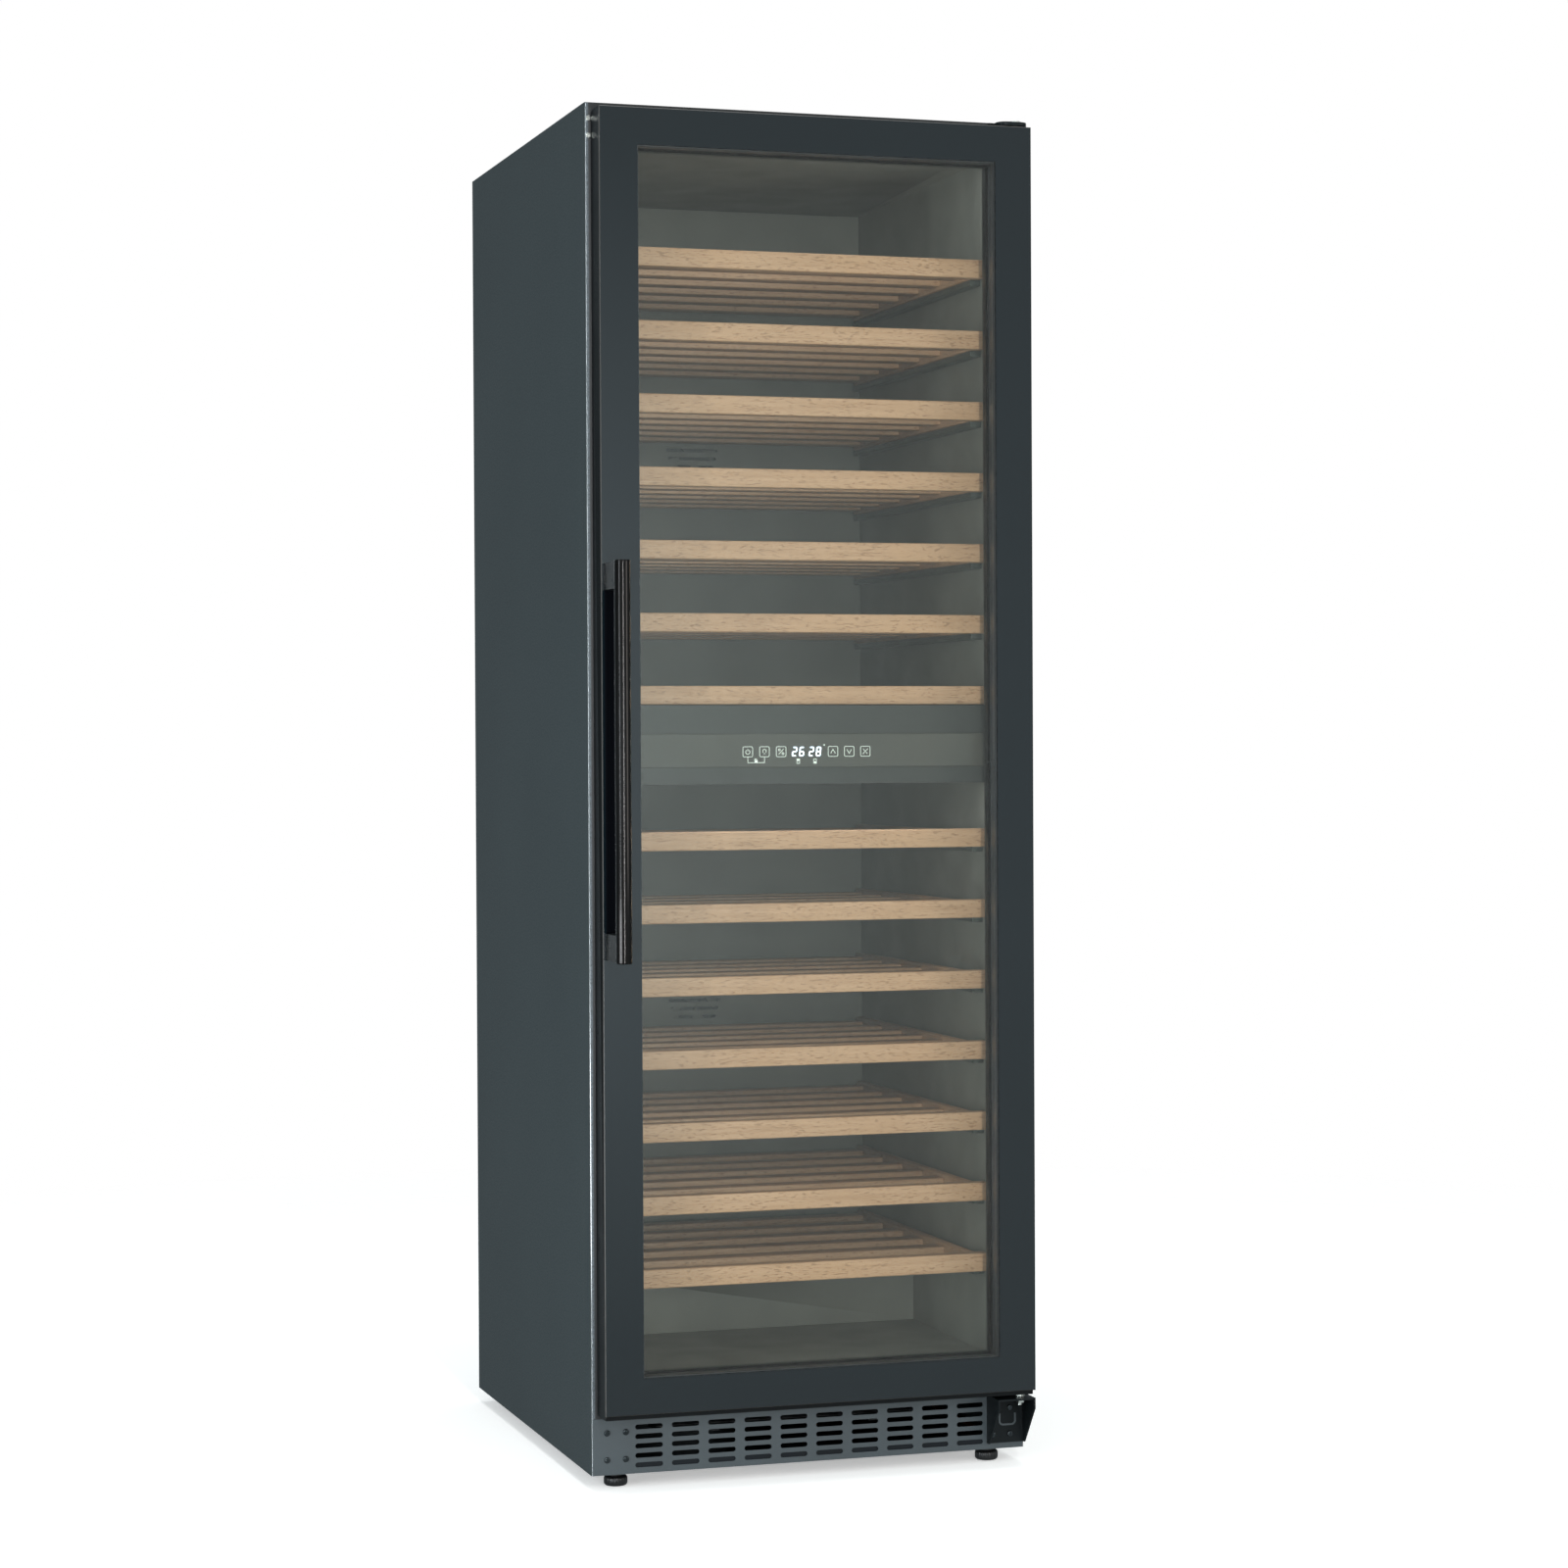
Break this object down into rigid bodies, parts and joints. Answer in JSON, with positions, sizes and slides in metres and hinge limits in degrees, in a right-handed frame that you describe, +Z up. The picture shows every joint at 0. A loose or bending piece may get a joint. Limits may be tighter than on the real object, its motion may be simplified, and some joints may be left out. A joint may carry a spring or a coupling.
{
  "type": "wine cooler",
  "caption": "Tall free-standing dual-zone wine cooler with a right-hinged glass door, sliding beech shelves, a control strip between the zones and a bar handle.",
  "frame": {"origin": "on the floor, under the middle of the object's box, handle included", "axes": "+Z up; -Y is the way the door faces; +X is the hinge side, on the right of someone facing the door"},
  "size_m": [0.595, 0.77, 1.7834],
  "materials": {
    "shell_paint": "satin",
    "back_sheet": "matte",
    "zinc_sheet": "satin",
    "liner_plastic": "matte",
    "foam": "matte",
    "black_plastic": "matte",
    "divider_plastic": "matte",
    "fascia": "satin",
    "circuit_board": "matte",
    "lamp_diffuser": "gloss",
    "duct_plastic": "matte",
    "evaporator_metal": "satin",
    "rail_plastic": "matte",
    "kick_paint": "satin",
    "hinge_paint": "satin",
    "screw_steel": "satin",
    "pin_steel": "polished",
    "roller_plastic": "matte",
    "compressor_paint": "satin",
    "mount_rubber": "matte",
    "condenser_steel": "satin",
    "copper": "polished",
    "door_paint": "satin",
    "tinted_glass": "gloss",
    "clear_glass": "gloss",
    "spacer_metal": "satin",
    "gasket_rubber": "matte",
    "handle_steel": "satin",
    "beech": "satin"
  },
  "bodies": {
    "cabinet": {"side_panel_left": "shell_paint", "side_panel_right": "shell_paint", "top_panel": "shell_paint", "rear_panel": "back_sheet", "base_frame": "zinc_sheet", "liner": "liner_plastic", "insulation_foam": "foam", "hole_plugs": "black_plastic", "zone_divider": "divider_plastic", "control_panel": "fascia", "control_board": "circuit_board", "led_bars": "lamp_diffuser", "duct_cover_upper": "duct_plastic", "duct_cover_lower": "duct_plastic", "evaporators": "evaporator_metal", "fan_shrouds": "black_plastic", "shelf_rails_left": "rail_plastic", "shelf_rails_right": "rail_plastic", "kick_grille": "kick_paint", "panel_screws": "screw_steel", "lower_hinge_bracket": "hinge_paint", "upper_hinge_bracket": "hinge_paint", "hinge_pins": "pin_steel", "roller_brackets": "zinc_sheet", "compressor": "compressor_paint", "compressor_mounts": "mount_rubber", "drain_tray": "black_plastic", "condenser": "condenser_steel", "refrigerant_pipes": "copper", "condenser_fan_shroud": "black_plastic", "power_inlet": "black_plastic"},
    "door": {"door_frame": "door_paint", "outer_glass": "tinted_glass", "inner_glass": "clear_glass", "glass_spacer": "spacer_metal", "door_gasket": "gasket_rubber", "handle_bar": "handle_steel", "handle_posts": "handle_steel", "handle_screws": "screw_steel"},
    "tray_01": {"shelf_01": "beech"},
    "tray_02": {"shelf_02": "beech"},
    "tray_03": {"shelf_03": "beech"},
    "tray_04": {"shelf_04": "beech"},
    "tray_05": {"shelf_05": "beech"},
    "tray_06": {"shelf_06": "beech"},
    "tray_07": {"shelf_07": "beech"},
    "tray_08": {"shelf_08": "beech"},
    "tray_09": {"shelf_09": "beech"},
    "tray_10": {"shelf_10": "beech"},
    "tray_11": {"shelf_11": "beech"},
    "tray_12": {"shelf_12": "beech"},
    "tray_13": {"shelf_13": "beech"},
    "tray_14": {"shelf_14": "beech"},
    "fan_upper": {"fan_rotor_upper": "black_plastic"},
    "fan_lower": {"fan_rotor_lower": "black_plastic"},
    "condenser_fan": {"condenser_fan_rotor": "black_plastic"},
    "left_foot": {"foot_left": "black_plastic"},
    "right_foot": {"foot_right": "black_plastic"},
    "left_roller": {"roller_left": "roller_plastic"},
    "right_roller": {"roller_right": "roller_plastic"}
  },
  "joints": [
    {"name": "door_hinge", "type": "hinge", "parent": "cabinet", "child": "door", "pos_m": [0.282, -0.304, 0.9], "axis": [0, 0, 1], "range_deg": [0, 110]},
    {"name": "shelf_01_slide", "type": "slide", "parent": "cabinet", "child": "tray_01", "axis": [0, -1, 0], "range_m": [0, 0.024]},
    {"name": "shelf_02_slide", "type": "slide", "parent": "cabinet", "child": "tray_02", "axis": [0, -1, 0], "range_m": [0, 0.024]},
    {"name": "shelf_03_slide", "type": "slide", "parent": "cabinet", "child": "tray_03", "axis": [0, -1, 0], "range_m": [0, 0.024]},
    {"name": "shelf_04_slide", "type": "slide", "parent": "cabinet", "child": "tray_04", "axis": [0, -1, 0], "range_m": [0, 0.024]},
    {"name": "shelf_05_slide", "type": "slide", "parent": "cabinet", "child": "tray_05", "axis": [0, -1, 0], "range_m": [0, 0.024]},
    {"name": "shelf_06_slide", "type": "slide", "parent": "cabinet", "child": "tray_06", "axis": [0, -1, 0], "range_m": [0, 0.024]},
    {"name": "shelf_07_slide", "type": "slide", "parent": "cabinet", "child": "tray_07", "axis": [0, -1, 0], "range_m": [0, 0.024]},
    {"name": "shelf_08_slide", "type": "slide", "parent": "cabinet", "child": "tray_08", "axis": [0, -1, 0], "range_m": [0, 0.024]},
    {"name": "shelf_09_slide", "type": "slide", "parent": "cabinet", "child": "tray_09", "axis": [0, -1, 0], "range_m": [0, 0.024]},
    {"name": "shelf_10_slide", "type": "slide", "parent": "cabinet", "child": "tray_10", "axis": [0, -1, 0], "range_m": [0, 0.024]},
    {"name": "shelf_11_slide", "type": "slide", "parent": "cabinet", "child": "tray_11", "axis": [0, -1, 0], "range_m": [0, 0.024]},
    {"name": "shelf_12_slide", "type": "slide", "parent": "cabinet", "child": "tray_12", "axis": [0, -1, 0], "range_m": [0, 0.024]},
    {"name": "shelf_13_slide", "type": "slide", "parent": "cabinet", "child": "tray_13", "axis": [0, -1, 0], "range_m": [0, 0.024]},
    {"name": "shelf_14_slide", "type": "slide", "parent": "cabinet", "child": "tray_14", "axis": [0, -1, 0], "range_m": [0, 0.024]},
    {"name": "fan_upper_spin", "type": "hinge", "parent": "cabinet", "child": "fan_upper", "pos_m": [0, 0.284, 1.4], "axis": [0, 1, 0], "continuous": true},
    {"name": "fan_lower_spin", "type": "hinge", "parent": "cabinet", "child": "fan_lower", "pos_m": [0, 0.284, 0.6], "axis": [0, 1, 0], "continuous": true},
    {"name": "condenser_fan_spin", "type": "hinge", "parent": "cabinet", "child": "condenser_fan", "pos_m": [-0.13, 0.122, 0.104], "axis": [0, 1, 0], "continuous": true},
    {"name": "left_foot_screw", "type": "hinge", "parent": "cabinet", "child": "left_foot", "pos_m": [-0.257, -0.244, 0.007], "axis": [0, 0, 1], "continuous": true},
    {"name": "right_foot_screw", "type": "hinge", "parent": "cabinet", "child": "right_foot", "pos_m": [0.257, -0.244, 0.007], "axis": [0, 0, 1], "continuous": true},
    {"name": "left_roller_spin", "type": "hinge", "parent": "cabinet", "child": "left_roller", "pos_m": [-0.262, 0.345, 0.015], "axis": [1, 0, 0], "continuous": true},
    {"name": "right_roller_spin", "type": "hinge", "parent": "cabinet", "child": "right_roller", "pos_m": [0.262, 0.345, 0.015], "axis": [1, 0, 0], "continuous": true}
  ]
}
